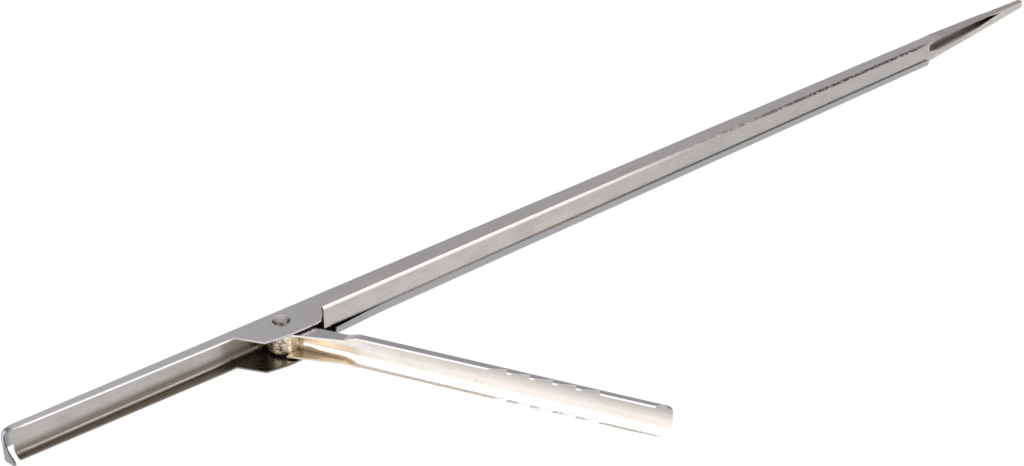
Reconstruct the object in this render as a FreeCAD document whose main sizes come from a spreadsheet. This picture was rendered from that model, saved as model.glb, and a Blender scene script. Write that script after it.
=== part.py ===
# Larding needle: a long folded channel with a point, and a toothed lever that closes on its tail.
# Frame, in millimetres: the origin is on the pivot axis at the underside, +X runs along the
# needle to its point, the channels of needle and tail open towards -Y, and +Z is up.
import FreeCAD, Part
import math
import os
import Sketcher

os.makedirs("parts", exist_ok=True)
doc = FreeCAD.newDocument("larding_needle")

# Driving dimensions
SIZES = [
    # sheet and channel
    ("sheet_thick", 0.3),
    ("bend_radius", 0.45),
    ("floor_bend", 1.0),
    ("channel_high", 5.2),
    ("web_back", 2.9),
    # tail, the open trough behind the pivot
    ("tail_reach", 41.3),
    ("tail_depth_end", 1.45),
    ("tail_depth_joint", 2.2),
    # cheeks, the deep walls that hold the rivet
    ("cheek_rear", 5.3),
    ("flare_length", 2.35),
    ("cheek_depth_rear", 6.2),
    ("belly_rear", 1.9),
    ("belly_front", 3.0),
    ("cheek_depth", 6.85),
    # closed needle section
    ("shoulder_length", 3.5),
    ("panel_setback", 0.4),
    ("panel_end", 166.4),
    ("panel_low", 1.0),
    ("panel_corner", 2.0),
    ("closed_depth_start", 3.87),
    ("closed_depth_end", 2.95),
    ("lip_setback", 2.1),
    ("lip_end_setback", 0.3),
    ("lip_high", 1.4),
    ("lip_gap", 0.05),
    ("lip_bend", 0.45),
    ("lip_flare", 0.25),
    ("lip_flare_length", 6.0),
    # point
    ("point_length", 39.8),
    ("point_solid_length", 9.5),
    ("point_web_back", 3.2),
    ("point_low", 2.6),
    ("point_high", 1.65),
    ("point_depth", 1.3),
    ("point_round", 0.6),
    ("floor_depth_end", 2.25),
    ("flange_high", 1.1),
    ("flange_high_end", 0.5),
    # hook at the end of the tail
    ("hook_overhang", 1.75),
    ("hook_low", 0.55),
    ("hook_top_gap", 0.4),
    ("hook_flange", 1.2),
    ("hook_length", 3.3),
    ("hook_tip_low", 0.9),
    ("hook_tip_high", 0.6),
    ("hook_bend", 0.8),
    ("slot_top", 2.1),
    # lever
    ("lever_rest_angle", -66.1),
    ("lever_side_gap", 0.3),
    ("lever_floor_gap", 0.05),
    ("lever_web_start", 1.4),
    ("lever_web_end", 0.95),
    ("lever_edge", 0.15),
    ("lever_eye_gap", 0.25),
    ("neck_start", 1.4),
    ("neck_end", 10.2),
    ("neck_front_end", 0.5),
    ("neck_trough_radius", 1.4),
    ("joggle_length", 2.2),
    ("lever_reach", 59.1),
    ("lever_tongue", 2.5),
    ("lever_wall_slant", 1.3),
    ("lever_corner", 1.0),
    ("lever_bend", 0.45),
    ("trough_radius", 2.1),
    ("wrap_forward", 1.6),
    # teeth
    ("tooth_first", 32.1),
    ("tooth_pitch", 3.4),
    ("tooth_depth", 0.8),
    ("tooth_lean", 0.2),
    ("tooth_count", 5),
    # rivet
    ("rivet_radius", 0.9),
    ("rivet_head_radius", 1.35),
    ("rivet_head_high", 0.7),
    ("rivet_foot_flare", 0.2),
    ("rivet_turning_gap", 0.05),
]

sheet = doc.addObject("Spreadsheet::Sheet", "Sizes")
for row, (alias, number) in enumerate(SIZES, start=1):
    sheet.set("A%d" % row, alias)
    sheet.set("B%d" % row, str(number))
    sheet.setAlias("B%d" % row, alias)
doc.recompute()


class Size:
    """A length held both as a number and as the sheet formula that gives it."""

    def __init__(self, value, formula):
        self.value = value
        self.formula = formula

    def __add__(self, other):
        other = as_size(other)
        return Size(self.value + other.value, "(%s + %s)" % (self.formula, other.formula))

    def __sub__(self, other):
        other = as_size(other)
        return Size(self.value - other.value, "(%s - %s)" % (self.formula, other.formula))

    def __mul__(self, factor):
        factor = as_size(factor)
        return Size(self.value * factor.value, "(%s * %s)" % (self.formula, factor.formula))

    def __truediv__(self, divisor):
        divisor = as_size(divisor)
        return Size(self.value / divisor.value, "(%s / %s)" % (self.formula, divisor.formula))

    def __neg__(self):
        return Size(-self.value, "(0 - %s)" % self.formula)


def as_size(number):
    if isinstance(number, Size):
        return number
    return Size(float(number), repr(float(number)))


S = {alias: Size(float(number), "Sizes.%s" % alias) for alias, number in SIZES}

# How far a cutting sketch runs past the metal that it cuts
OVERCUT = 2.0
TOLERANCE = 0.03
# How far the lever's floor turns towards the open side, at its neck and along its length
NECK_TURN = math.radians(90)
TROUGH_TURN = math.radians(60)


def new_body(name):
    body = doc.addObject("PartDesign::Body", name)
    body.Label = name
    return body


def new_sketch(body, name, role, offset=0.0):
    """A sketch on one of the body's origin planes, moved along the plane's normal."""
    sketch = body.newObject("Sketcher::SketchObject", name)
    plane = [feature for feature in body.Origin.OriginFeatures if feature.Role == role][0]
    sketch.AttachmentSupport = [(plane, "")]
    sketch.MapMode = "FlatFace"
    sketch.setExpression(".AttachmentOffset.Base.z", as_size(offset).formula)
    return sketch


def place_point(sketch, index, corner, x, y):
    """Hold one end of a line at a place given by two sizes."""
    for kind, size in (("DistanceX", x), ("DistanceY", y)):
        number = sketch.addConstraint(
            Sketcher.Constraint(kind, -1, 1, index, corner, size.value))
        sketch.setExpression("Constraints[%d]" % number, size.formula)


def square_corner_ends(before, corner, after, radius):
    """Where the arc of a rounded square corner starts and ends."""
    ends = []
    for other in (before, after):
        steps = [abs(other[axis].value - corner[axis].value) for axis in (0, 1)]
        axis = steps.index(max(steps))
        side = 1.0 if other[axis].value > corner[axis].value else -1.0
        moved = list(corner)
        moved[axis] = corner[axis] + radius * side
        ends.append(tuple(moved))
    return ends


def outline(sketch, corners):
    """A closed outline: a corner is two sizes, and a third size rounds a square corner."""
    corners = [tuple(as_size(number) for number in corner) for corner in corners]
    points = []
    for index, corner in enumerate(corners):
        if len(corner) == 2:
            points.append((corner, None))
            continue
        after = corners[(index + 1) % len(corners)]
        start, end = square_corner_ends(corners[index - 1], corner[:2], after, corner[2])
        points += [(start, corner[2]), (end, None)]
    count = len(points)
    ends = []
    for index, ((x, y), radius) in enumerate(points):
        next_x, next_y = points[(index + 1) % count][0]
        start = FreeCAD.Vector(x.value, y.value, 0)
        end = FreeCAD.Vector(next_x.value, next_y.value, 0)
        if radius is None:
            sketch.addGeometry(Part.LineSegment(start, end), False)
            ends.append((1, 2))
            continue
        before = points[index - 1][0]
        arrival = start - FreeCAD.Vector(before[0].value, before[1].value, 0)
        turns_left = arrival.cross(end - start).z > 0
        if not turns_left:
            start, end = end, start
        # a quarter arc has its centre on the left of its chord
        chord = end - start
        centre = start + chord / 2 + FreeCAD.Vector(-chord.y, chord.x, 0) / 2
        first = math.atan2(start.y - centre.y, start.x - centre.x)
        ring = Part.Circle(centre, FreeCAD.Vector(0, 0, 1), radius.value)
        sketch.addGeometry(Part.ArcOfCircle(ring, first, first + math.pi / 2), False)
        ends.append((1, 2) if turns_left else (2, 1))
    for index in range(count):
        following = (index + 1) % count
        sketch.addConstraint(Sketcher.Constraint(
            "Coincident", index, ends[index][1], following, ends[following][0]))
    for index, ((x, y), radius) in enumerate(points):
        place_point(sketch, index, ends[index][0], x, y)
        if radius is not None:
            number = sketch.addConstraint(Sketcher.Constraint("Radius", index, radius.value))
            sketch.setExpression("Constraints[%d]" % number, radius.formula)
    return sketch


def rectangle(sketch, x_low, x_high, y_low, y_high):
    return outline(sketch, [(x_low, y_low), (x_high, y_low), (x_high, y_high), (x_low, y_high)])


def circle(sketch, radius):
    """A circle on the sketch's origin."""
    radius = as_size(radius)
    centre = FreeCAD.Vector(0, 0, 0)
    index = sketch.addGeometry(Part.Circle(centre, FreeCAD.Vector(0, 0, 1), radius.value), False)
    sketch.addConstraint(Sketcher.Constraint("Coincident", index, 3, -1, 1))
    number = sketch.addConstraint(Sketcher.Constraint("Radius", index, radius.value))
    sketch.setExpression("Constraints[%d]" % number, radius.formula)
    return sketch


def loft(body, name, kind, sections):
    """A straight-sided loft through outlines given as (x, corners)."""
    sketches = []
    for number, (x, corners) in enumerate(sections):
        sketch = new_sketch(body, "%s_section_%d" % (name, number), "YZ_Plane", x)
        sketches.append(outline(sketch, corners))
    doc.recompute()
    before = volume(body)
    feature = body.newObject("PartDesign::" + kind, name)
    feature.Profile = sketches[0]
    feature.Sections = sketches[1:]
    feature.Ruled = True
    doc.recompute()
    check_change(body, name, before, grows=(kind == "AdditiveLoft"))
    return feature


def volume(body):
    return 0.0 if body.Shape.isNull() else body.Shape.Volume


def check_change(body, name, before, grows):
    """A feature that adds or removes no metal is a mistake."""
    change = volume(body) - before
    if change == 0 or (change > 0) != grows:
        raise RuntimeError("%s changes the volume by %g" % (name, change))


def cut(body, name, sketch, length=None, reverse=False):
    """A pocket through everything, or of a given length."""
    before = volume(body)
    pocket = body.newObject("PartDesign::Pocket", name)
    pocket.Profile = sketch
    pocket.Reversed = reverse
    if length is None:
        pocket.Type = "ThroughAll"
    else:
        pocket.setExpression("Length", as_size(length).formula)
    doc.recompute()
    check_change(body, name, before, grows=False)
    return pocket


def pad(body, name, sketch, length):
    before = volume(body)
    feature = body.newObject("PartDesign::Pad", name)
    feature.Profile = sketch
    feature.setExpression("Length", as_size(length).formula)
    doc.recompute()
    check_change(body, name, before, grows=True)
    return feature


def upright_edges_at(feature, x, y):
    """Names of the upright edges at a place in plan."""
    names = []
    for number, edge in enumerate(feature.Shape.Edges, start=1):
        spots = [vertex.Point for vertex in edge.Vertexes]
        here = all(abs(p.x - x.value) < TOLERANCE and abs(p.y - y.value) < TOLERANCE
                   for p in spots)
        if here and len(spots) == 2:
            names.append("Edge%d" % number)
    return names


def ring_edges_at(feature, radius, height):
    """Names of the circles about the pivot axis at a height."""
    names = []
    for number, edge in enumerate(feature.Shape.Edges, start=1):
        curve = edge.Curve
        if curve.TypeId != "Part::GeomCircle":
            continue
        centre = curve.Center
        on_axis = math.hypot(centre.x, centre.y) < TOLERANCE
        if on_axis and abs(curve.Radius - radius.value) < TOLERANCE \
                and abs(centre.z - height) < TOLERANCE:
            names.append("Edge%d" % number)
    return names


def fillet(body, name, feature, edge_names, radius):
    rounding = body.newObject("PartDesign::Fillet", name)
    rounding.Base = (feature, edge_names)
    rounding.setExpression("Radius", as_size(radius).formula)
    doc.recompute()
    return rounding


def channel(front, web, low, high, bend, floor_bend):
    """Section of a channel blank: square at the open front, rounded along the web."""
    return [(front, low), (web, low, floor_bend), (web, high, bend), (front, high)]


def tube(front, web, low, high, bend, floor_bend):
    """Section of the closed needle: rounded along the web and at the panel's fold."""
    return [(front, low), (web, low, floor_bend), (web, high, bend), (front, high, bend)]


def trough(front, web, low, high, bend, radius, turn, inset=0.0):
    """Section of the lever: a square top fold, and a floor that turns in on a large radius."""
    centre_y = web - radius
    centre_z = low + radius * math.sin(turn)
    radius = radius - inset
    steps = 5
    curve = []
    for step in range(steps, -1, -1):
        angle = turn * step / steps
        curve.append((centre_y + radius * math.cos(angle), centre_z - radius * math.sin(angle)))
    return [(front, curve[0][1])] + curve + [(web - inset, high - inset, bend),
                                             (front, high - inset)]


# Needle body, one folded sheet
def make_needle_body():
    body = new_body("needle_body")
    thick = S["sheet_thick"]
    high = S["channel_high"]
    web = S["web_back"]
    bend = S["bend_radius"]
    floor_bend = S["floor_bend"]
    inner_bend = bend - thick
    inner_floor = floor_bend - thick
    front = web - S["cheek_depth"]
    open_front = front - OVERCUT
    tail_end = -S["tail_reach"]
    closed_start = S["belly_front"] + S["shoulder_length"]
    closed_end = S["panel_end"]
    point_end = closed_end + S["point_length"]
    hollow_end = point_end - S["point_solid_length"]
    hook_top = high - S["hook_top_gap"]
    face_start = web - S["closed_depth_start"]
    face_end = web - S["closed_depth_end"]
    floor_front = web - S["floor_depth_end"]
    point_web = S["point_web_back"]
    point_front = point_web - S["point_depth"]
    point_low = S["point_low"]
    point_top = point_low + S["point_high"]
    point_round = S["point_round"]

    # tail and cheeks, closed needle and point, each as a solid bar first
    loft(body, "tail_blank", "AdditiveLoft", [
        (x, channel(front, web, 0, high, bend, floor_bend)) for x in (tail_end, closed_start)
    ])
    loft(body, "needle_blank", "AdditiveLoft", [
        (closed_start, tube(face_start, web, 0, high, bend, floor_bend)),
        (closed_end, tube(face_end, web, 0, high, bend, floor_bend)),
    ])
    loft(body, "point_blank", "AdditiveLoft", [
        (closed_end, [
            (floor_front, 0),
            (web, 0, floor_bend),
            (web, high, bend),
            (face_end, high),
        ]),
        (point_end, channel(point_front, point_web, point_low, point_top, point_round,
                            point_round)),
    ])

    # the hollow stops short of the point, where the sheet is pressed shut
    share = (hollow_end - closed_end) / S["point_length"]

    def towards_point(start, end):
        return start + (end - start) * share

    hollow_web = towards_point(web, point_web) - thick
    hollow_front = towards_point(floor_front, point_front) + thick
    hollow_low = towards_point(as_size(0), point_low) + thick
    hollow_high = towards_point(high, point_top) - thick
    hollow_flange = hollow_low - thick + S["flange_high_end"]
    loft(body, "tail_hollow", "SubtractiveLoft", [
        (x, channel(open_front, web - thick, thick, high - thick, inner_bend, inner_floor))
        for x in (tail_end - OVERCUT, closed_start)
    ])
    loft(body, "needle_hollow", "SubtractiveLoft", [
        (closed_start, tube(face_start + thick, web - thick, thick, high - thick, inner_bend,
                            inner_floor)),
        (closed_end, tube(face_end + thick, web - thick, thick, high - thick, inner_bend,
                          inner_floor)),
    ])
    loft(body, "point_hollow", "SubtractiveLoft", [
        (closed_end, channel(floor_front + thick, web - thick, thick, high - thick, inner_bend,
                             inner_floor)),
        (hollow_end, channel(hollow_front, hollow_web, hollow_low, hollow_high, inner_bend,
                             inner_bend)),
    ])
    loft(body, "point_mouth", "SubtractiveLoft", [
        (closed_end, [
            (open_front, S["flange_high"]),
            (floor_front + thick, S["flange_high"]),
            (floor_front + thick, high - thick),
            (open_front, high - thick),
        ]),
        (hollow_end, [
            (open_front, hollow_flange),
            (hollow_front, hollow_flange),
            (hollow_front, hollow_high),
            (open_front, hollow_high),
        ]),
    ])

    panel_low = S["panel_low"]
    # the panel hangs free of the bottom wall, and starts past the shoulder of the cheeks
    seam = rectangle(new_sketch(body, "seam_outline", "XZ_Plane", -open_front),
                     closed_start - OVERCUT, closed_end, thick, panel_low)
    cut(body, "seam", seam, face_end + thick * 2 - open_front)
    start = rectangle(new_sketch(body, "panel_start_outline", "XZ_Plane", -open_front),
                      closed_start - OVERCUT, closed_start + S["panel_setback"], thick,
                      high - bend)
    cut(body, "panel_start", start, face_end + thick - open_front)
    corner = S["panel_corner"]
    round_end = outline(new_sketch(body, "panel_corner_outline", "XZ_Plane", -open_front), [
        (closed_end - corner * 2, thick),
        (closed_end + thick, thick),
        (closed_end + thick, high - bend),
        (closed_end, high - bend),
        (closed_end, panel_low, corner),
        (closed_end - corner * 2, panel_low),
    ])
    cut(body, "panel_corner", round_end, face_end + thick * 2 - open_front)

    # lip, folded up from the bottom wall outside the panel, and bent away from it at its start
    def face_at(x):
        along = (x - closed_start) / (closed_end - closed_start)
        return face_start + (face_end - face_start) * along

    def lip_section(x, flare):
        face = face_at(x)
        inner = face - S["lip_gap"] - flare
        return [
            (face + thick, 0),
            (face + thick, thick),
            (inner, thick),
            (inner, S["lip_high"]),
            (inner - thick, S["lip_high"]),
            (inner - thick, 0, S["lip_bend"]),
        ]

    lip_start = closed_start + S["lip_setback"]
    lip_stations = [
        (lip_start, S["lip_flare"]),
        (lip_start + S["lip_flare_length"], as_size(0)),
        (closed_end - S["lip_end_setback"], as_size(0)),
    ]
    loft(body, "lip", "AdditiveLoft", [
        (x, lip_section(x, flare)) for x, flare in lip_stations
    ])

    # front edges of the tail, its flare, the belly of the cheeks and their shoulders
    rear_front = web - S["cheek_depth_rear"]
    tail_cut = outline(new_sketch(body, "tail_outline", "XY_Plane"), [
        (tail_end - OVERCUT, open_front),
        (-S["belly_rear"], open_front),
        (-S["belly_rear"], front),
        (-S["cheek_rear"], rear_front),
        (-(S["cheek_rear"] + S["flare_length"]), web - S["tail_depth_joint"]),
        (tail_end, web - S["tail_depth_end"]),
        (tail_end - OVERCUT, web - S["tail_depth_end"]),
    ])
    cut(body, "tail_trim", tail_cut, reverse=True)
    proud = S["lip_gap"] + thick
    shoulder_cut = outline(new_sketch(body, "shoulder_outline", "XY_Plane"), [
        (S["belly_front"], open_front),
        (closed_start + thick, open_front),
        (closed_start + thick, face_start - proud),
        (closed_start, face_start - proud),
        (S["belly_front"], front),
    ])
    cut(body, "shoulder_trim", shoulder_cut, reverse=True)

    # hook: the web runs on, turns to the front and ends in a narrow tongue
    hook_out = tail_end - S["hook_overhang"]
    hook_in = hook_out + thick
    tongue = web - S["hook_length"]
    flange = web - S["hook_flange"]
    hook_plan = outline(new_sketch(body, "hook_plan", "XY_Plane", S["hook_low"]), [
        (hook_out, tongue),
        (hook_in, tongue),
        (hook_in, web - thick),
        (tail_end, web - thick),
        (tail_end, web),
        (hook_out, web, S["hook_bend"]),
    ])
    hook = pad(body, "hook", hook_plan, hook_top - S["hook_low"])
    fillet(body, "hook_inner_bend", hook, upright_edges_at(hook, hook_in, web - thick),
           S["hook_bend"] - thick)
    slot = rectangle(new_sketch(body, "slot_outline", "XZ_Plane", -(web + OVERCUT)),
                     hook_out + S["hook_bend"], tail_end, S["hook_low"] - OVERCUT, S["slot_top"])
    cut(body, "slot", slot, thick + OVERCUT, reverse=True)
    tip_top = S["hook_tip_low"] + S["hook_tip_high"]
    above = outline(new_sketch(body, "tongue_upper", "YZ_Plane", hook_out - OVERCUT), [
        (flange, hook_top + OVERCUT),
        (tongue - OVERCUT, hook_top + OVERCUT),
        (tongue - OVERCUT, tip_top),
        (tongue, tip_top),
        (flange, S["slot_top"]),
    ])
    cut(body, "tongue_top_trim", above, S["hook_bend"] + OVERCUT, reverse=True)
    below = outline(new_sketch(body, "tongue_lower", "YZ_Plane", hook_out - OVERCUT), [
        (web, S["hook_low"]),
        (tongue, S["hook_tip_low"]),
        (tongue - OVERCUT, S["hook_tip_low"]),
        (tongue - OVERCUT, S["hook_low"] - OVERCUT),
        (web, S["hook_low"] - OVERCUT),
    ])
    cut(body, "tongue_bottom_trim", below, S["hook_bend"] + OVERCUT, reverse=True)

    # holes that grip the rivet
    hole = circle(new_sketch(body, "rivet_hole", "XY_Plane"), S["rivet_radius"])
    bore = cut(body, "rivet_bore", hole, reverse=True)
    rims = ring_edges_at(bore, S["rivet_radius"], 0)
    countersink = body.newObject("PartDesign::Chamfer", "rivet_countersink")
    countersink.Base = (bore, rims)
    countersink.setExpression("Size", S["rivet_foot_flare"].formula)
    doc.recompute()
    return body


# Clamp lever, one folded sheet with a pinched neck that turns between the cheeks.
# In its own frame +X runs along the lever from the pivot, and it opens towards -Y.
def make_clamp_lever():
    body = new_body("clamp_lever")
    thick = S["sheet_thick"]
    bend = S["lever_bend"]
    web = S["lever_web_start"]
    web_end = S["lever_web_end"]
    eye = S["web_back"] - thick - S["lever_eye_gap"]
    edge = -S["lever_edge"]
    reach = S["lever_reach"]
    wall_end = reach - S["lever_tongue"]
    joggle_end = S["neck_end"] + S["joggle_length"]
    neck_low = thick + S["lever_side_gap"]
    neck_high = S["channel_high"] - neck_low
    main_low = S["lever_floor_gap"]
    main_high = S["channel_high"] - main_low
    open_front = -eye - OVERCUT

    # eye and channel as solid bars, then their hollows
    eye_disc = circle(new_sketch(body, "eye_outline", "XY_Plane", neck_low), eye)
    pad(body, "eye", eye_disc, neck_high - neck_low)
    full = S["trough_radius"]
    pinched = S["neck_trough_radius"]
    stations = [
        (as_size(0), web, neck_low, neck_high, pinched, NECK_TURN),
        (S["neck_end"], web, neck_low, neck_high, pinched, NECK_TURN),
        (joggle_end, web, main_low, main_high, full, TROUGH_TURN),
        (reach, web_end, main_low, main_high, full, TROUGH_TURN),
    ]
    loft(body, "lever_blank", "AdditiveLoft", [
        (x, trough(-eye, back, low, high, bend, radius, turn))
        for x, back, low, high, radius, turn in stations
    ])
    loft(body, "lever_hollow", "SubtractiveLoft", [
        (x, trough(open_front, back, low, high, bend - thick, radius, turn, thick))
        for x, back, low, high, radius, turn in stations
    ])
    hollow_high = neck_high - neck_low - thick * 2
    eye_hollow = circle(new_sketch(body, "eye_hollow_outline", "XY_Plane", neck_low + thick),
                        eye - thick)
    cut(body, "eye_hollow", eye_hollow, hollow_high, reverse=True)
    wrap_mouth = rectangle(new_sketch(body, "wrap_mouth_outline", "XY_Plane", neck_low + thick),
                           -eye - OVERCUT, 0, open_front, -S["wrap_forward"])
    cut(body, "wrap_mouth", wrap_mouth, hollow_high, reverse=True)

    # front edges of the neck and of the straight part, and the slanted ends of the walls
    neck_cut = outline(new_sketch(body, "neck_outline", "XY_Plane"), [
        (S["neck_start"], open_front),
        (reach + OVERCUT, open_front),
        (reach + OVERCUT, edge),
        (joggle_end, edge),
        (S["neck_end"], -S["neck_front_end"]),
        (S["neck_start"], -eye),
    ])
    cut(body, "neck_trim", neck_cut, reverse=True)
    end_cut = outline(new_sketch(body, "wall_end_outline", "XY_Plane"), [
        (wall_end, edge - OVERCUT),
        (reach + OVERCUT, edge - OVERCUT),
        (reach + OVERCUT, web_end - thick),
        (wall_end + S["lever_wall_slant"], web_end - thick),
        (wall_end, edge),
    ])
    cut(body, "wall_end_trim", end_cut, reverse=True)
    corner = S["lever_corner"]
    for name, level, side in (("lower", main_low, 1.0), ("upper", main_high, -1.0)):
        spare = corner * side * 2
        corner_cut = outline(
            new_sketch(body, name + "_corner_outline", "XZ_Plane", -(web + OVERCUT)), [
                (reach - corner * 2, level - as_size(OVERCUT) * side),
                (reach + OVERCUT, level - as_size(OVERCUT) * side),
                (reach + OVERCUT, level + spare),
                (reach, level + spare),
                (reach, level, corner),
                (reach - corner * 2, level),
            ])
        cut(body, name + "_corner", corner_cut, web + OVERCUT * 2, reverse=True)

    # saw teeth along both walls: each slopes in away from the pivot and ends in a steep face
    first = S["tooth_first"]
    pitch = S["tooth_pitch"]
    tooth_outline = outline(new_sketch(body, "tooth_outline", "XY_Plane"), [
        (first, edge - OVERCUT),
        (first + pitch, edge - OVERCUT),
        (first + pitch, edge),
        (first + pitch - S["tooth_lean"], edge + S["tooth_depth"]),
        (first, edge),
    ])
    tooth = cut(body, "tooth_notch", tooth_outline, reverse=True)
    before = volume(body)
    teeth = body.newObject("PartDesign::LinearPattern", "teeth")
    teeth.Originals = [tooth]
    teeth.Direction = (tooth_outline, ["H_Axis"])
    teeth.setExpression("Length", (pitch * (S["tooth_count"] - 1)).formula)
    teeth.setExpression("Occurrences", S["tooth_count"].formula)
    body.Tip = teeth
    doc.recompute()
    check_change(body, "teeth", before, grows=False)

    bore = circle(new_sketch(body, "pivot_hole", "XY_Plane"),
                  S["rivet_radius"] + S["rivet_turning_gap"])
    cut(body, "pivot_bore", bore, reverse=True)
    body.Placement.Rotation.Axis = FreeCAD.Vector(0, 0, 1)
    body.setExpression("Placement.Rotation.Angle", S["lever_rest_angle"].formula + " * 1 deg")
    doc.recompute()
    return body


# Pivot rivet: a domed head on the top cheek, and a foot closed flush into the bottom one
def make_pivot_rivet():
    body = new_body("pivot_rivet")
    shank = S["rivet_radius"]
    foot = shank + S["rivet_foot_flare"]
    head = S["rivet_head_radius"]
    high = S["channel_high"]
    crown = high + S["rivet_head_high"]
    sketch = new_sketch(body, "rivet_profile", "XZ_Plane")
    points = [(0, 0), (foot, 0), (shank, S["rivet_foot_flare"]), (shank, high), (head, high),
              (0, crown)]
    points = [(as_size(x), as_size(z)) for x, z in points]
    spots = [FreeCAD.Vector(x.value, z.value, 0) for x, z in points]
    for start, end in zip(spots[:4], spots[1:5]):
        sketch.addGeometry(Part.LineSegment(start, end), False)
    # the crown is part of a ball through the head's rim and its top
    ball = (head * head + S["rivet_head_high"] * S["rivet_head_high"]) / (S["rivet_head_high"] * 2)
    centre = FreeCAD.Vector(0, (crown - ball).value, 0)
    rim = math.atan2(high.value - centre.y, head.value)
    ring = Part.Circle(centre, FreeCAD.Vector(0, 0, 1), ball.value)
    sketch.addGeometry(Part.ArcOfCircle(ring, rim, math.pi / 2), False)
    sketch.addGeometry(Part.LineSegment(spots[5], spots[0]), False)
    count = len(points)
    for index in range(count):
        sketch.addConstraint(Sketcher.Constraint("Coincident", index, 2, (index + 1) % count, 1))
    for index, (x, z) in enumerate(points):
        place_point(sketch, index, 1, x, z)
    number = sketch.addConstraint(Sketcher.Constraint("Radius", 4, ball.value))
    sketch.setExpression("Constraints[%d]" % number, ball.formula)
    doc.recompute()
    rivet = body.newObject("PartDesign::Revolution", "rivet_turned")
    rivet.Profile = sketch
    rivet.ReferenceAxis = (sketch, ["V_Axis"])
    rivet.Angle = 360.0
    doc.recompute()
    return body


def check_and_write(bodies):
    doc.recompute()
    for obj in doc.Objects:
        if "Invalid" in obj.State or "Error" in obj.State:
            raise RuntimeError("%s failed: %s" % (obj.Name, obj.State))
    for body in bodies:
        shape = body.Shape
        if shape.isNull() or not shape.isValid():
            raise RuntimeError("%s has a bad shape" % body.Label)
        print(body.Label, "solids", len(shape.Solids), "volume", round(shape.Volume, 2))
        shape.exportStep(os.path.join("parts", body.Label + ".step"))


check_and_write([make_needle_body(), make_clamp_lever(), make_pivot_rivet()])
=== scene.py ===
import math

import bmesh
import bpy
from mathutils import Matrix, Vector


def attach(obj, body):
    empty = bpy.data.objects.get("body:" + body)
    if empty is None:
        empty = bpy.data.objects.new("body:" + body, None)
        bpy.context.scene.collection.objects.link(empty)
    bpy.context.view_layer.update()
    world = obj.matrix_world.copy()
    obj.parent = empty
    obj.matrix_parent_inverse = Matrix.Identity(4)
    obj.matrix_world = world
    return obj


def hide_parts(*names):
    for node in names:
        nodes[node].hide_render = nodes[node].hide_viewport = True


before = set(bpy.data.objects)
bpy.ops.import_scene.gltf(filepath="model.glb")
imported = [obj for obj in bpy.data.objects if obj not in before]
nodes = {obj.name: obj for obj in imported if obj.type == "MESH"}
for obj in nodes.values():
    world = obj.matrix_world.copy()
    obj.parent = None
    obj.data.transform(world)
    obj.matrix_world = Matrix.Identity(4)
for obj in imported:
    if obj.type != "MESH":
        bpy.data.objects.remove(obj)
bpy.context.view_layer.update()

scene = bpy.context.scene

# Lengths are in metres, and a length written in millimetres is multiplied by MM
MM = 0.001
LEVER_ANGLE = math.radians(-66.1)


# Camera, at the photograph's place and angle
CAMERA_PLACE = (-0.112838, -0.167481, 0.123006)
CAMERA_AZIMUTH = math.radians(46.498)
CAMERA_ELEVATION = math.radians(27.444)
CAMERA_ROLL = math.radians(0.097)
CAMERA_LENS = 56.045


def make_camera():
    azimuth, elevation, roll = CAMERA_AZIMUTH, CAMERA_ELEVATION, CAMERA_ROLL
    forward = Vector((math.cos(azimuth) * math.cos(elevation),
                      math.sin(azimuth) * math.cos(elevation),
                      -math.sin(elevation)))
    level_right = Vector((math.sin(azimuth), -math.cos(azimuth), 0.0))
    level_up = level_right.cross(forward)
    right = level_right * math.cos(roll) + level_up * math.sin(roll)
    up = level_up * math.cos(roll) - level_right * math.sin(roll)
    data = bpy.data.cameras.new("photo_camera")
    data.sensor_fit = "HORIZONTAL"
    data.sensor_width = 36.0
    data.lens = CAMERA_LENS
    data.clip_start = 0.01
    data.clip_end = 20.0
    camera = bpy.data.objects.new("photo_camera", data)
    scene.collection.objects.link(camera)
    turn = Matrix((right, up, -forward)).transposed().to_4x4()
    camera.matrix_world = Matrix.Translation(CAMERA_PLACE) @ turn
    scene.camera = camera


make_camera()


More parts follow.
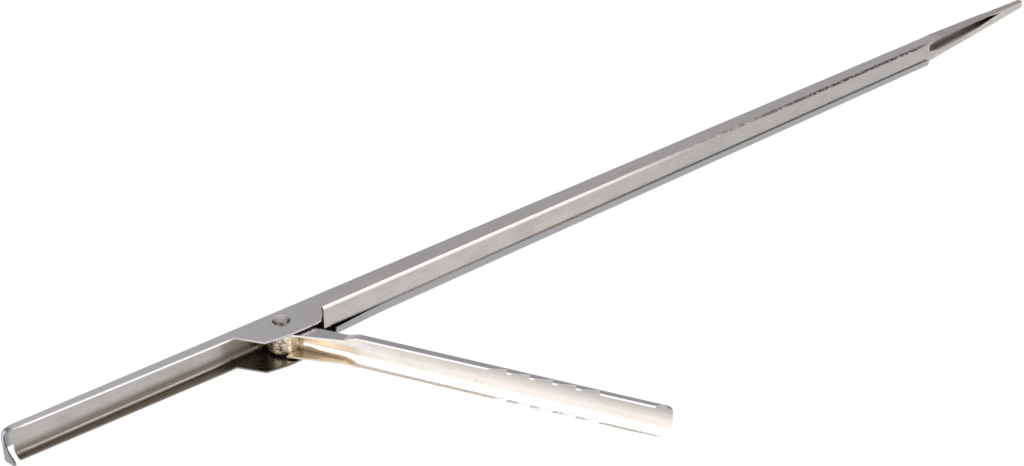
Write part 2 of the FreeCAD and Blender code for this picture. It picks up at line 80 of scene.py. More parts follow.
# Materials
class Nodes:
    """A short way to write a material's node tree."""

    def __init__(self, name):
        self.material = bpy.data.materials.new(name)
        self.material.use_nodes = True
        self.tree = self.material.node_tree
        self.shader = self.tree.nodes["Principled BSDF"]

    def add(self, kind, **settings):
        node = self.tree.nodes.new(kind)
        for key, value in settings.items():
            setattr(node, key, value)
        return node

    def link(self, source, target):
        self.tree.links.new(source, target)

    def own_place(self, turn):
        """Coordinates in the object's own frame, turned to run along it."""
        coordinates = self.add("ShaderNodeTexCoord")
        rotate = self.add("ShaderNodeVectorRotate", rotation_type="Z_AXIS")
        rotate.inputs["Angle"].default_value = -turn
        self.link(coordinates.outputs["Object"], rotate.inputs["Vector"])
        return rotate.outputs["Vector"]

    def stretch(self, vector, scale):
        mapping = self.add("ShaderNodeMapping", vector_type="POINT")
        self.link(vector, mapping.inputs["Vector"])
        mapping.inputs["Scale"].default_value = scale
        return mapping.outputs["Vector"]

    def axis(self, vector, name):
        split = self.add("ShaderNodeSeparateXYZ")
        self.link(vector, split.inputs["Vector"])
        return split.outputs[name]

    def noise(self, vector, detail, roughness):
        node = self.add("ShaderNodeTexNoise")
        self.link(vector, node.inputs["Vector"])
        node.inputs["Scale"].default_value = 1.0
        node.inputs["Detail"].default_value = detail
        node.inputs["Roughness"].default_value = roughness
        return node.outputs["Fac"]

    def remap(self, value, from_low, from_high, to_low, to_high):
        node = self.add("ShaderNodeMapRange")
        self.link(value, node.inputs["Value"])
        node.inputs["From Min"].default_value = from_low
        node.inputs["From Max"].default_value = from_high
        node.inputs["To Min"].default_value = to_low
        node.inputs["To Max"].default_value = to_high
        return node.outputs["Result"]

    def mix_colour(self, factor, first, second):
        node = self.add("ShaderNodeMix", data_type="RGBA")
        self.link(factor, node.inputs["Factor"])
        colours = [socket for socket in node.inputs if socket.type == "RGBA"]
        for socket, value in zip(colours, (first, second)):
            if isinstance(value, tuple):
                socket.default_value = (*value, 1.0)
            else:
                self.link(value, socket)
        return [socket for socket in node.outputs if socket.type == "RGBA"][0]

    def combine(self, operation, first, second):
        node = self.add("ShaderNodeMath", operation=operation)
        for socket, value in zip(node.inputs, (first, second)):
            if isinstance(value, float):
                socket.default_value = value
            else:
                self.link(value, socket)
        return node.outputs["Value"]

    def product(self, *factors):
        result = factors[0]
        for factor in factors[1:]:
            result = self.combine("MULTIPLY", result, factor)
        return result

    def above(self, value, begin, full):
        """0 below begin, rising to 1 at full; in millimetres."""
        return self.remap(value, begin * MM, full * MM, 0.0, 1.0)

    def below(self, value, full, end):
        """1 below full, falling to 0 at end; in millimetres."""
        return self.remap(value, full * MM, end * MM, 1.0, 0.0)

    def window(self, value, begin, full, ease, end):
        """1 between full and ease, falling to 0 at begin and end; in millimetres."""
        return self.product(self.above(value, begin, full), self.below(value, ease, end))


GRAIN_STRENGTH = 0.25
GRAIN_DEPTH = 0.00004


def steel(name, colour, stain, roughness, painted_light_and_tones, turn=0.0):
    """Drawn sheet steel: lengthwise streaks, cloudy stains, pits and fine scratches."""
    n = Nodes(name)
    place = n.own_place(turn)
    cloud = n.noise(n.stretch(place, (170.0, 420.0, 420.0)), 4.0, 0.6)
    tint = n.noise(n.stretch(place, (60.0, 300.0, 300.0)), 3.0, 0.6)
    streak = n.noise(n.stretch(place, (40.0, 2500.0, 2500.0)), 3.0, 0.6)
    grain = n.noise(n.stretch(place, (900.0, 2600.0, 2600.0)), 4.0, 0.7)
    pit = n.noise(n.stretch(place, (1500.0, 1500.0, 1500.0)), 2.0, 0.5)
    painted = n.mix_colour(n.remap(cloud, 0.42, 0.72, 0.0, 0.8), colour, stain)
    painted = n.mix_colour(n.remap(streak, 0.4, 0.8, 0.0, 0.45), painted, stain)
    warm = tuple(channel * share for channel, share in zip(colour, (1.04, 0.96, 0.93)))
    painted = n.mix_colour(n.remap(tint, 0.5, 0.65, 0.0, 0.5), painted, warm)
    darkest = tuple(channel * 0.5 for channel in stain)
    painted = n.mix_colour(n.remap(pit, 0.68, 0.8, 0.0, 0.6), painted, darkest)
    # painted shade and highlights, and some tones, from the function given
    painted = painted_light_and_tones(n, place, painted)
    n.link(painted, n.shader.inputs["Base Color"])
    n.shader.inputs["Metallic"].default_value = 1.0
    polish = n.remap(streak, 0.3, 0.7, roughness - 0.04, roughness + 0.05)
    clouding = n.remap(cloud, 0.3, 0.7, -0.04, 0.06)
    rough = n.combine("ADD", polish, clouding)
    n.link(rough, n.shader.inputs["Roughness"])
    bump = n.add("ShaderNodeBump")
    bump.inputs["Strength"].default_value = GRAIN_STRENGTH
    bump.inputs["Distance"].default_value = GRAIN_DEPTH
    n.link(n.combine("ADD", grain, streak), bump.inputs["Height"])
    n.link(bump.outputs["Normal"], n.shader.inputs["Normal"])
    return n.material


# What the needle's painted shade, painted highlights and tones are mixed with
PAINTED_WALL_SHADE = (0.34, 0.33, 0.33)
PAINTED_FLOOR_SHADE = (0.2, 0.175, 0.15)
PAINTED_TOP_LIGHT = (0.86, 0.85, 0.85)
PAINTED_EDGE_HIGHLIGHT = (1.0, 1.0, 1.0)
PAINTED_HOOK_SHADE = (0.27, 0.27, 0.29)
GREY_LIP = (0.37, 0.375, 0.39)
FAR_PANEL = (0.38, 0.37, 0.355)
PAINTED_FOLD_HIGHLIGHT = (0.98, 0.93, 0.86)
PAINTED_DARK_REFLECTION = (0.1, 0.09, 0.085)
PAINTED_POINT_LIGHT = (0.6, 0.57, 0.57)


def needle_light_and_tones(n, place, painted):
    """Painted shade in the tail, on its hook and as a dark reflection in its fold; painted light
    on top, inside the point and as highlights on its edge and fold.
    """
    x, y, z = (n.axis(place, name) for name in "XYZ")
    # inside of the tail: painted shade on the wall, and deeper painted shade along the floor
    tail = n.below(x, -1.0, 4.0)
    within_web = n.below(y, 2.82, 2.88)
    wall_shade = n.product(tail, within_web, n.window(z, 1.5, 2.4, 4.7, 4.8))
    painted = n.mix_colour(n.combine("MULTIPLY", wall_shade, 0.4), painted, PAINTED_WALL_SHADE)
    tail_floor_shade = n.product(tail, within_web, n.window(z, 0.05, 0.15, 1.0, 2.3))
    painted = n.mix_colour(tail_floor_shade, painted, PAINTED_FLOOR_SHADE)
    # painted light on the top face, most of all along the tail, and a painted highlight on the
    # edge in front of it
    top = n.product(n.above(z, 5.06, 5.14), n.remap(x, -40.0 * MM, 20.0 * MM, 0.9, 0.36))
    painted = n.mix_colour(top, painted, PAINTED_TOP_LIGHT)
    to_edge = n.combine("ADD", y, n.combine("MULTIPLY", x, 0.0223))
    rim_highlight = n.product(n.window(x, -41.0, -40.0, -9.0, -8.0), n.above(z, 4.85, 4.9),
                    n.below(to_edge, 0.66, 0.72))
    painted = n.mix_colour(rim_highlight, painted, PAINTED_EDGE_HIGHLIGHT)
    # painted shade on the hooked end
    painted = n.mix_colour(n.below(x, -42.2, -41.6), painted, PAINTED_HOOK_SHADE)
    # the lip is greyer than the panel, which darkens a little towards the point
    along = n.combine("SUBTRACT", y, n.combine("MULTIPLY", x, 0.00575))
    lip = n.product(n.above(x, 8.4, 8.6), n.below(z, 1.6, 1.7), n.below(along, -1.2, -1.1))
    painted = n.mix_colour(lip, painted, GREY_LIP)
    panel = n.product(n.window(z, 1.1, 1.2, 4.7, 4.8), n.window(along, -1.2, -1.1, 0.0, 0.1))
    far = n.product(panel, n.remap(x, 60.0 * MM, 95.0 * MM, 0.15, 0.6))
    painted = n.mix_colour(far, painted, FAR_PANEL)
    # a painted highlight on the fold over the panel near the joint, and a ragged painted dark
    # reflection in it towards the point
    rag = n.noise(n.stretch(place, (900.0, 1200.0, 2400.0)), 3.0, 0.7)
    fold = n.product(n.window(z, 4.55, 4.75, 5.1, 5.19), n.below(y, 0.3, 0.5))
    fold_highlight = n.product(fold, n.window(x, 6.0, 7.0, 60.0, 120.0))
    painted = n.mix_colour(fold_highlight, painted, PAINTED_FOLD_HIGHLIGHT)
    fold_dark_reflection = n.product(fold, n.window(x, 70.0, 125.0, 162.0, 166.6),
                      n.remap(rag, 0.35, 0.5, 0.0, 1.0))
    painted = n.mix_colour(fold_dark_reflection, painted, PAINTED_DARK_REFLECTION)
    # painted light inside the open point, an even paler colour; its floor, top, front and web all
    # taper
    share = n.remap(x, 166.4 * MM, 206.2 * MM, 0.0, 1.0)
    over_floor = n.combine("SUBTRACT", z, n.combine("MULTIPLY", share, 2.6 * MM))
    under_top = n.combine("ADD", z, n.combine("MULTIPLY", share, 0.95 * MM))
    behind_front = n.combine("SUBTRACT", y, n.combine("MULTIPLY", share, 1.25 * MM))
    before_web = n.combine("SUBTRACT", y, n.combine("MULTIPLY", share, 0.3 * MM))
    lit_hollow = n.product(n.window(x, 160.0, 165.0, 203.0, 204.0), n.above(over_floor, 0.15, 0.25),
                       n.below(under_top, 4.98, 5.08), n.above(behind_front, 0.8, 0.9),
                       n.below(before_web, 2.7, 2.78))
    return n.mix_colour(lit_hollow, painted, PAINTED_POINT_LIGHT)


# What the rivet's painted shade and highlight are mixed with
PAINTED_RIM_SHADE = (0.1, 0.095, 0.09)
PAINTED_CROWN_HIGHLIGHT = (0.9, 0.87, 0.84)


def rivet_painted_light(n, place, painted):
    """Painted shade round the rim of the rivet's head, and a painted highlight on its crown."""
    z = n.axis(place, "Z")
    painted = n.mix_colour(n.window(z, 5.0, 5.1, 5.4, 5.6), painted, PAINTED_RIM_SHADE)
    return n.mix_colour(n.remap(z, 5.6 * MM, 5.85 * MM, 0.0, 0.8), painted, PAINTED_CROWN_HIGHLIGHT)


# What the lever's painted shade, highlights and glints are mixed with
PAINTED_FOLD_SHADE = (0.45, 0.42, 0.395)
PAINTED_NECK_SHADE = (0.7, 0.6, 0.48)
PAINTED_TOP_SHADE = (0.58, 0.565, 0.57)
SPECKLE_SHADE = (0.2, 0.15, 0.1)
SPECKLE_GLINT = (0.9, 0.83, 0.68)


def lever_painted_light(n, place, painted):
    """The lever is bright inside, with grey painted shade under its top fold and on top, and brown
    painted shade in its neck.
    """
    u, v, z = (n.axis(place, name) for name in "XYZ")
    main = n.above(u, 11.0, 14.0)
    # painted shade under the top fold
    fold_shade = n.product(main, n.above(z, 2.3, 4.6),
                           n.remap(u, 14.0 * MM, 55.0 * MM, 0.6, 1.0))
    painted = n.mix_colour(fold_shade, painted, PAINTED_FOLD_SHADE)
    # brown painted shade in the neck's trough
    neck = n.product(n.below(u, 11.2, 12.6), n.window(z, 0.4, 0.7, 2.3, 3.0),
                     n.above(u, 1.5, 2.5))
    painted = n.mix_colour(neck, painted, PAINTED_NECK_SHADE)
    # painted shade on the top faces
    main_top_shade = n.product(main, n.above(z, 4.95, 5.08))
    neck_top_shade = n.window(z, 4.5, 4.57, 4.62, 4.66)
    painted = n.mix_colour(n.combine("MAXIMUM", main_top_shade, neck_top_shade), painted, PAINTED_TOP_SHADE)
    # painted highlight on the cut edges of both walls
    edges = n.product(main, n.below(v, -0.1, -0.02))
    painted = n.mix_colour(edges, painted, PAINTED_EDGE_HIGHLIGHT)
    # rough metal of the eye, with speckled painted glints and dark reflections
    speck = n.noise(n.stretch(place, (2600.0, 2600.0, 2600.0)), 3.0, 0.7)
    eye_glints = n.mix_colour(n.remap(speck, 0.4, 0.6, 0.0, 1.0), SPECKLE_SHADE, SPECKLE_GLINT)
    eye = n.product(n.below(u, 1.6, 2.4), n.window(z, 0.5, 0.9, 4.2, 4.5))
    return n.mix_colour(eye, painted, eye_glints)


needle_steel = steel("needle_steel", (0.575, 0.55, 0.525), (0.45, 0.42, 0.39), 0.27, needle_light_and_tones)
# the lever's near-white colour is painted light, for the bright reflections inside it
lever_steel = steel("lever_steel", (0.93, 0.9, 0.86), (0.8, 0.75, 0.68), 0.25, lever_painted_light,
                    LEVER_ANGLE)
rivet_steel = steel("rivet_steel", (0.6, 0.57, 0.53), (0.4, 0.36, 0.31), 0.2, rivet_painted_light)
rivet = nodes["pivot_rivet"]
rivet.data.materials.clear()
rivet.data.materials.append(rivet_steel)


# Sheet metal as a smooth surface that is then given its thickness
SHEET = 0.3 * MM
WORN_EDGE = 0.07 * MM
WELD_DISTANCE = 0.002 * MM


def spread(corners, count):
    """Points at even steps along a line of corners."""
    lengths = [0.0]
    for before, after in zip(corners, corners[1:]):
        lengths.append(lengths[-1] + math.dist(before, after))
    points = []
    segment = 0
    for index in range(count):
        wanted = lengths[-1] * index / (count - 1)
        while segment < len(corners) - 2 and lengths[segment + 1] < wanted:
            segment += 1
        run = lengths[segment + 1] - lengths[segment]
        share = 0.0 if run == 0 else (wanted - lengths[segment]) / run
        before, after = corners[segment], corners[segment + 1]
        points.append(tuple(a + (b - a) * share for a, b in zip(before, after)))
    return points


def smooth_step(share):
    share = min(max(share, 0.0), 1.0)
    return share * share * (3.0 - 2.0 * share)


def add_grid(mesh, rows):
    """A patch of the surface, from rows of points."""
    lines = [[mesh.verts.new(point) for point in row] for row in rows]
    for line, following in zip(lines, lines[1:]):
        for index in range(len(line) - 1):
            mesh.faces.new((line[index], following[index],
                            following[index + 1], line[index + 1]))


def sheet_object(name, mesh, material, body, node):
    """An object with thickness, made from a surface; it stands for a CAD node."""
    data = bpy.data.meshes.new(name)
    bmesh.ops.remove_doubles(mesh, verts=mesh.verts, dist=WELD_DISTANCE)
    mesh.to_mesh(data)
    mesh.free()
    for face in data.polygons:
        face.use_smooth = True
    piece = bpy.data.objects.new(name, data)
    scene.collection.objects.link(piece)
    thick = piece.modifiers.new("thickness", "SOLIDIFY")
    thick.thickness = SHEET
    thick.offset = -1.0
    edges = piece.modifiers.new("worn_edges", "BEVEL")
    edges.width = WORN_EDGE
    edges.segments = 2
    edges.limit_method = "ANGLE"
    edges.angle_limit = math.radians(50)
    data.materials.append(material)
    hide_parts(node)
    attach(piece, body)


# Needle body, in the part's own frame: the tail points to -X, and the channel opens to -Y
HIGH = 5.2 * MM
WEB = 2.9 * MM
FLOOR = 0.02 * MM
FOLD = 0.45 * MM
FLOOR_FOLD = 1.3 * MM
FLANGE_BEND = 0.3 * MM
TAIL_END = -41.3 * MM
PANEL_START = 6.9 * MM
LIP_START = 8.6 * MM
PANEL_END = 166.4 * MM
PANEL_CORNER = 2.0 * MM
POINT_END = 206.2 * MM
STATION_STEP = 2.6 * MM


def between(x, stops):
    """A value that runs straight between stops given as (x, value), in millimetres."""
    x = x / MM
    if x <= stops[0][0]:
        return stops[0][1] * MM
    for (x0, y0), (x1, y1) in zip(stops, stops[1:]):
        if x <= x1:
            return (y0 + (y1 - y0) * (x - x0) / (x1 - x0)) * MM
    return stops[-1][1] * MM


def arc(centre, radius, start, end, steps=6):
    """Points of an arc, without its first, from one angle in degrees to another."""
    points = []
    for step in range(1, steps + 1):
        angle = math.radians(start + (end - start) * step / steps)
        points.append((centre[0] + radius[0] * math.cos(angle),
                       centre[1] + radius[1] * math.sin(angle)))
    return points


def panel_face(x):
    return between(x, ((6.5, -0.97), (166.4, -0.05)))


def open_edge(x):
    """Front edge of both walls along the tail, the cheeks and their shoulders."""
    return between(x, ((-41.3, 1.45), (-7.65, 0.7), (-5.3, -3.3), (-1.9, -3.95), (3.6, -3.95),
                       (4.4, -3.7), (5.6, -2.4), (6.6, -0.9), (6.9, -0.52)))


def lip_face(x):
    return panel_face(x) - between(x, ((8.6, 0.75), (17.6, 0.35)))


def channel_section(top_edge, low_edge):
    """Section from the top wall's edge, round the web, to the bottom wall's edge."""
    corners = [(top_edge, HIGH), (WEB - FOLD, HIGH)]
    corners += arc((WEB - FOLD, HIGH - FOLD), (FOLD, FOLD), 90, 0)
    corners += arc((WEB - FLOOR_FOLD, FLOOR + FLOOR_FOLD), (FLOOR_FOLD, FLOOR_FOLD), 0, -90, 12)
    corners.append((low_edge, FLOOR))
    return corners


def point_section(x):
    """Section of the tapered point: the top folds down at its two ends, over a low flange."""
    front_top = between(x, ((166.4, -0.05), (206.2, 1.9)))
    front_low = between(x, ((166.4, 0.65), (206.2, 1.9)))
    web = between(x, ((166.4, 2.9), (206.2, 3.2)))
    low = between(x, ((166.4, 0.02), (206.2, 2.6)))
    high = between(x, ((166.4, 5.2), (206.2, 4.25)))
    fold = between(x, ((166.4, 0.4), (206.2, 0.3)))
    floor_fold = between(x, ((166.4, 1.3), (180.0, 0.8), (206.2, 0.45)))
    depth = between(x, ((166.4, 0.7), (168.5, 0.25), (171.0, 0.08), (190.0, 0.08),
                        (193.0, 0.3), (196.7, 0.62), (206.2, 0.6)))
    flange_top = between(x, ((166.4, 3.4), (167.4, 2.7), (169.0, 2.25), (172.0, 2.05),
                             (180.0, 2.27), (188.0, 2.8), (193.0, 3.45), (196.7, 3.82),
                             (206.2, 3.62)))
    top_low = high - depth
    fold = min(fold, depth)
    corners = [(front_top, top_low), (front_top, high - fold)]
    corners += arc((front_top + fold, high - fold), (fold, fold), 180, 90)
    corners.append((web - fold, high))
    corners += arc((web - fold, high - fold), (fold, fold), 90, 0)
    corners += arc((web - floor_fold, low + floor_fold), (floor_fold, floor_fold), 0, -90, 12)
    corners.append((front_low + FLANGE_BEND, low))
    corners += arc((front_low + FLANGE_BEND, low + FLANGE_BEND), (FLANGE_BEND, FLANGE_BEND),
                   -90, -180)
    corners.append((front_low, flange_top))
    return corners


def needle_stations(start, end, step, extra):
    """Places along x at even steps, with some extra ones given in millimetres."""
    count = max(2, round((end - start) / step))
    places = [start + (end - start) * index / count for index in range(count + 1)]
    places += [place * MM for place in extra if start < place * MM < end]
    return sorted(places)


def add_channel(mesh):
    """The open channel, and the part of the closed needle that its walls share."""
    rows = []
    corners_of_edge = (-7.65, -7.0, -6.4, -5.8, -5.3, -4.0, -1.9, 3.6, 4.0, 4.4, 5.0, 5.6, 6.1,
                       6.6, 6.9, 8.6, 8.65)
    for x in needle_stations(TAIL_END, PANEL_END, STATION_STEP, corners_of_edge):
        edge = open_edge(x)
        low_edge = edge
        if x >= PANEL_START:
            edge = panel_face(x) + FOLD
            low_edge = panel_face(x)
        if x >= LIP_START:
            low_edge = lip_face(x) + FOLD
        rows.append([(x, y, z) for y, z in spread(channel_section(edge, low_edge), 80)])
    add_grid(mesh, rows)


def add_panel(mesh):
    """The panel, folded down over the front, with a rounded corner at its right end."""
    rows = []
    for x in needle_stations(PANEL_START, PANEL_END, STATION_STEP,
                             (7.2, 7.6, 164.4, 165.2, 165.8, 166.1, 166.3)):
        face = panel_face(x)
        low = between(x, ((6.9, 1.5), (21.5, 1.05)))
        past = max(0.0, x - (PANEL_END - PANEL_CORNER)) / PANEL_CORNER
        low += PANEL_CORNER * (1.0 - math.sqrt(max(0.0, 1.0 - past * past)))
        corners = [(face, low), (face, HIGH - FOLD)]
        corners += arc((face + FOLD, HIGH - FOLD), (FOLD, FOLD), 180, 90)
        rows.append([(x, y, z) for y, z in spread(corners, 30)])
    add_grid(mesh, rows)


def add_lip(mesh):
    """The lip, folded up from the floor outside the panel."""
    rows = []
    for x in needle_stations(LIP_START, PANEL_END - 0.3 * MM, STATION_STEP, (8.65,)):
        face = lip_face(x)
        top = between(x, ((8.6, 1.15), (17.6, 1.4)))
        corners = [(face + FOLD, FLOOR)]
        corners += arc((face + FOLD, FLOOR + FOLD), (FOLD, FOLD), -90, -180)
        corners.append((face, top))
        rows.append([(x, y, z) for y, z in spread(corners, 16)])
    add_grid(mesh, rows)


def add_point(mesh):
    """The point, whose last row is replaced by a blunt rounded end."""
    rows = []
    for x in needle_stations(PANEL_END, POINT_END, 1.4 * MM, (206.0,)):
        rows.append([(x, y, z) for y, z in spread(point_section(x), 96)])
    centre = Vector((0.0, 2.55 * MM, 3.42 * MM))
    last = rows.pop()
    for ahead, shrink in ((0.0, 0.97), (0.12, 0.75), (0.18, 0.4)):
        rows.append([(POINT_END - 0.2 * MM + ahead * MM,
                      centre.y + (y - centre.y) * shrink,
                      centre.z + (z - centre.z) * shrink) for _, y, z in last])
    add_grid(mesh, rows)


# The hook's course in plan, in millimetres
HOOK_BEND = 0.8
BEND_START = (-42.25, 2.9, 0.95)
BEND_CENTRE_Y = 2.1
TONGUE_STEP = 0.25


def hook_plan():
    """Points (x, y, length so far): the web runs on, and turns to the front."""
    start_x, _, start_length = BEND_START
    plan = [(-41.3, 2.9, 0.0), (-41.8, 2.9, 0.5), BEND_START]
    for step in range(1, 9):
        angle = math.radians(90 * step / 8)
        plan.append((start_x - HOOK_BEND * math.sin(angle),
                     BEND_CENTRE_Y + HOOK_BEND * math.cos(angle),
                     start_length + HOOK_BEND * angle))
    plan += [(-43.05, BEND_CENTRE_Y - TONGUE_STEP * step, 2.21 + TONGUE_STEP * step)
             for step in range(1, 11)]
    return plan


def add_hook(mesh):
    """The hook, whose height falls to a tongue, and which steps down at the bend."""
    plan = hook_plan()
    rows = []
    for index, (x, y, length) in enumerate(plan):
        ahead = plan[min(index + 1, len(plan) - 1)]
        behind = plan[max(index - 1, 0)]
        along = Vector((ahead[0] - behind[0], ahead[1] - behind[1])).normalized()
        inward = Vector((-along.y, along.x)) if index else Vector((0.0, -1.0))
        place = length * MM
        crown = between(place, ((0.0, 5.2), (0.9, 5.0), (1.6, 4.55), (2.2, 3.9), (2.7, 3.0),
                                (3.2, 2.35), (4.7, 1.5)))
        lowest = between(place, ((0.0, 2.1), (0.95, 2.1), (0.96, 0.55), (2.4, 0.5), (4.7, 0.9)))
        curl = between(place, ((0.0, 1.45), (0.9, 1.1), (1.6, 0.7), (2.2, 0.35), (2.7, 0.1)))
        fold = min(FOLD, curl, (crown - lowest) / 2)
        corners = [(curl, crown)] if curl > fold else []
        corners += arc((fold, crown - fold), (fold, fold), 90, 180)
        corners.append((0.0, lowest))
        rows.append([(x * MM + inward.x * n, y * MM + inward.y * n, z)
                     for n, z in spread(corners, 40)])
        if (x, y, length) == BEND_START:
            corners[-1] = (0.0, 0.55 * MM)
            rows.append([(x * MM - 0.02 * MM + inward.x * n, y * MM + inward.y * n, z)
                         for n, z in spread(corners, 40)])
    add_grid(mesh, rows[::-1])


needle_mesh = bmesh.new()
add_channel(needle_mesh)
add_panel(needle_mesh)
add_lip(needle_mesh)
add_point(needle_mesh)
add_hook(needle_mesh)
sheet_object("needle_sheet", needle_mesh, needle_steel, "needle", "needle_body")


# Clamp lever, in its own frame: u runs along it from the pivot, and it opens towards -v
LEVER_REACH = 59.1 * MM
LEVER_FRONT = -0.15 * MM
NECK_STEP = 10.2 * MM
NECK_END = 12.4 * MM
TOOTH_START = 32.1
TOOTH_EVERY = 3.4
TOOTH_FIRST = TOOTH_START * MM
TOOTH_PITCH = TOOTH_EVERY * MM
TOOTH_DEPTH = 0.8 * MM
TOOTH_LEAN = 0.2 * MM
TOOTH_COUNT = 5


def lever_point(u, v, z):
    cosine, sine = math.cos(LEVER_ANGLE), math.sin(LEVER_ANGLE)
    return (u * cosine - v * sine, u * sine + v * cosine, z)


def lever_section(web, low, high, top_edge, low_edge, bend, floor_wide, floor_high, belly):
    """Corners of the section from the top wall's edge, round the web, to the floor's edge."""
    corners = [(top_edge, high), (web - bend, high)]
    for step in range(1, 7):
        angle = math.radians(90 * step / 6)
        corners.append((web - bend + bend * math.sin(angle), high - bend + bend * math.cos(angle)))
    top, bottom = high - bend, low + floor_high
    for step in range(1, 9):
        share = step / 8
        sway = 4.0 * share * (1.0 - share)
        corners.append((web + belly * sway, top + (bottom - top) * share))
    for step in range(1, 19):
        angle = math.radians(90 * step / 18)
        v = web - floor_wide + floor_wide * math.cos(angle)
        z = low + floor_high - floor_high * math.sin(angle)
        if v <= low_edge:
            break
        corners.append((v, z))
    corners.append((low_edge, corners[-1][1]))
    return corners


def toothed_edge(u):
    """Front edge of the walls past the neck, with its saw teeth."""
    along = (u - TOOTH_FIRST) / TOOTH_PITCH
    if along < 0 or along >= TOOTH_COUNT:
        return LEVER_FRONT
    share = along - math.floor(along)
    steep = 1.0 - TOOTH_LEAN / TOOTH_PITCH
    if share < steep:
        return LEVER_FRONT + TOOTH_DEPTH * (share / steep) ** 1.4
    return LEVER_FRONT + TOOTH_DEPTH * (1.0 - share) / (1.0 - steep)


def wall_edge(u):
    """Front edge of the lever's walls, all along it."""
    if u > NECK_END:
        return toothed_edge(u)
    if u > NECK_STEP:
        return (-0.5 + 0.35 * (u - NECK_STEP) / (2.2 * MM)) * MM
    return min((-2.35 + 1.85 * (u - 1.4 * MM) / (8.8 * MM)) * MM, LEVER_FRONT)


def lever_stations():
    """Places along u, closer together where the outline turns."""
    places = [1.9, 3.0, 4.5, 6.0, 7.5, 9.0]
    places += [9.6 + 0.35 * step for step in range(10)]
    places += [14.0 + 2.0 * step for step in range(9)]
    places += [31.6, 32.0]
    for tooth in range(TOOTH_COUNT):
        start = TOOTH_START + TOOTH_EVERY * tooth
        places += [start + 3.2 * share for share in (0.0, 0.15, 0.3, 0.45, 0.6, 0.75, 0.9, 1.0)]
        places += [start + 3.3]
    places += [49.1, 50.0, 51.5, 53.0, 54.5, 55.5, 56.0]
    places += [56.3 + 0.14 * step for step in range(20)]
    places += [59.05, 59.1]
    return [place * MM for place in places]


def add_lever(mesh):
    """The lever's channel, from its pinched neck to its rounded end."""
    rows = []
    for u in lever_stations():
        pinch = 1.0 - smooth_step((u - 10.0 * MM) / (2.6 * MM))
        web = (1.4 - 0.45 * max(u - NECK_END, 0.0) / (46.7 * MM)) * MM
        low = (0.05 + 0.55 * pinch) * MM
        high = (5.15 - 0.55 * pinch) * MM
        edge = wall_edge(u)
        top_edge = low_edge = edge
        end = LEVER_REACH - u
        if end < 2.5 * MM:
            top_edge = max(edge, web - 1.4 * MM + (2.5 * MM - end) * 0.9)
        if end < 1.9 * MM:
            low_edge = max(edge, web - 1.2 * MM + (1.9 * MM - end) * 0.9)
        corners = lever_section(web, low, high, min(top_edge, web - 0.5 * MM),
                                min(low_edge, web - 0.1 * MM), FOLD,
                                (1.25 - 0.1 * pinch) * MM, (2.3 - 0.8 * pinch) * MM,
                                0.12 * MM * (1.0 - pinch))
        points = spread(corners, 64)
        if end < 1.3 * MM:
            rise = 1.0 - math.sqrt(max(0.0, 1.0 - (1.0 - end / (1.3 * MM)) ** 2))
            top_limit = high - 1.0 * MM * rise
            low_limit = low + 1.5 * MM * rise
            points = [(v, min(max(z, low_limit), top_limit)) for v, z in points]
        rows.append([lever_point(u, v, z) for v, z in points])
    add_grid(mesh, rows)


EYE_OUTER = 2.35 * MM
EYE_INNER = 0.95 * MM
EYE_LOW = 0.61 * MM
EYE_HIGH = 4.59 * MM


def add_eye(mesh):
    """The round end of the neck, a barrel wrapped round the pivot."""
    rows = []
    for step in range(49):
        angle = math.radians(36.6 - 360.0 * step / 48)
        corners = lever_section(EYE_OUTER, EYE_LOW, EYE_HIGH, EYE_INNER, EYE_INNER,
                                FOLD, FOLD, FOLD, 0.0)
        rows.append([lever_point(r * math.cos(angle), r * math.sin(angle), z)
                     for r, z in spread(corners, 40)])
    add_grid(mesh, rows)


lever_mesh = bmesh.new()
add_lever(lever_mesh)
add_eye(lever_mesh)
sheet_object("lever_sheet", lever_mesh, lever_steel, "lever", "clamp_lever")


# Floor and light
FLOOR_GLOW = 1.03
GLOW_SHARE = 0.9


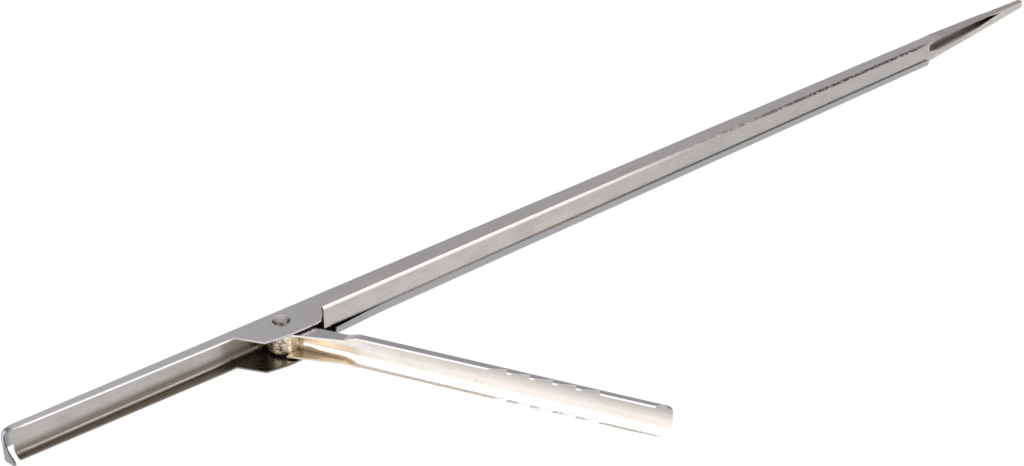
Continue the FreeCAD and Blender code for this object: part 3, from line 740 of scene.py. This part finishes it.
def make_floor():
    """A white table, with most of its white its own, so that the shadow stays faint."""
    half = 3.0
    mesh = bpy.data.meshes.new("floor")
    corners = [(-half, -half, 0), (half, -half, 0), (half, half, 0), (-half, half, 0)]
    mesh.from_pydata(corners, [], [(0, 1, 2, 3)])
    floor = bpy.data.objects.new("floor", mesh)
    scene.collection.objects.link(floor)
    n = Nodes("white_table")
    tree = n.tree
    diffuse = n.add("ShaderNodeBsdfDiffuse")
    diffuse.inputs["Color"].default_value = (0.9, 0.9, 0.9, 1.0)
    glow = n.add("ShaderNodeEmission")
    glow.inputs["Strength"].default_value = FLOOR_GLOW
    path = n.add("ShaderNodeLightPath")
    seen = n.combine("ADD", path.outputs["Is Camera Ray"], path.outputs["Is Glossy Ray"])
    seen = n.combine("ADD", seen, path.outputs["Is Transmission Ray"])
    share = n.remap(seen, 0.0, 1.0, 0.0, GLOW_SHARE)
    mix = n.add("ShaderNodeMixShader")
    n.link(share, mix.inputs[0])
    n.link(diffuse.outputs[0], mix.inputs[1])
    n.link(glow.outputs[0], mix.inputs[2])
    n.link(mix.outputs[0], tree.nodes["Material Output"].inputs["Surface"])
    mesh.materials.append(n.material)
    floor.location.z = -0.00005


def make_world():
    """A pale room, warm and bright in front of the needle, greyer and cooler behind it."""
    world = bpy.data.worlds.new("studio")
    scene.world = world
    world.use_nodes = True
    tree = world.node_tree
    background = tree.nodes["Background"]
    coordinates = tree.nodes.new("ShaderNodeTexCoord")
    along = tree.nodes.new("ShaderNodeVectorMath")
    along.operation = "DOT_PRODUCT"
    along.inputs[1].default_value = (0.60, 0.66, 0.45)
    reach = tree.nodes.new("ShaderNodeMapRange")
    reach.inputs["From Min"].default_value = -1.0
    ramp = tree.nodes.new("ShaderNodeValToRGB")
    tree.links.new(coordinates.outputs["Generated"], along.inputs[0])
    tree.links.new(along.outputs["Value"], reach.inputs["Value"])
    tree.links.new(reach.outputs["Result"], ramp.inputs["Fac"])
    tree.links.new(ramp.outputs["Color"], background.inputs["Color"])
    stops = ramp.color_ramp.elements
    stops[0].position = 0.3
    stops[0].color = (1.0, 0.97, 0.93, 1.0)
    stops[1].position = 0.8
    stops[1].color = (0.50, 0.49, 0.515, 1.0)
    background.inputs["Strength"].default_value = 1.0


def make_lamp(name, place, target, size, power):
    data = bpy.data.lights.new(name, "AREA")
    data.shape = "RECTANGLE"
    data.size, data.size_y = size
    data.energy = power
    lamp = bpy.data.objects.new(name, data)
    scene.collection.objects.link(lamp)
    lamp.location = place
    direction = Vector(target) - Vector(place)
    lamp.rotation_euler = direction.to_track_quat("-Z", "Y").to_euler()


make_floor()
make_world()
make_lamp("left_softbox", (-0.7, -0.15, 0.35), (0.03, -0.01, 0.0), (0.5, 0.7), 3.0)
make_lamp("front_softbox", (0.25, -0.6, 0.55), (0.06, 0.0, 0.0), (0.7, 0.4), 2.0)

scene.view_settings.view_transform = "Standard"
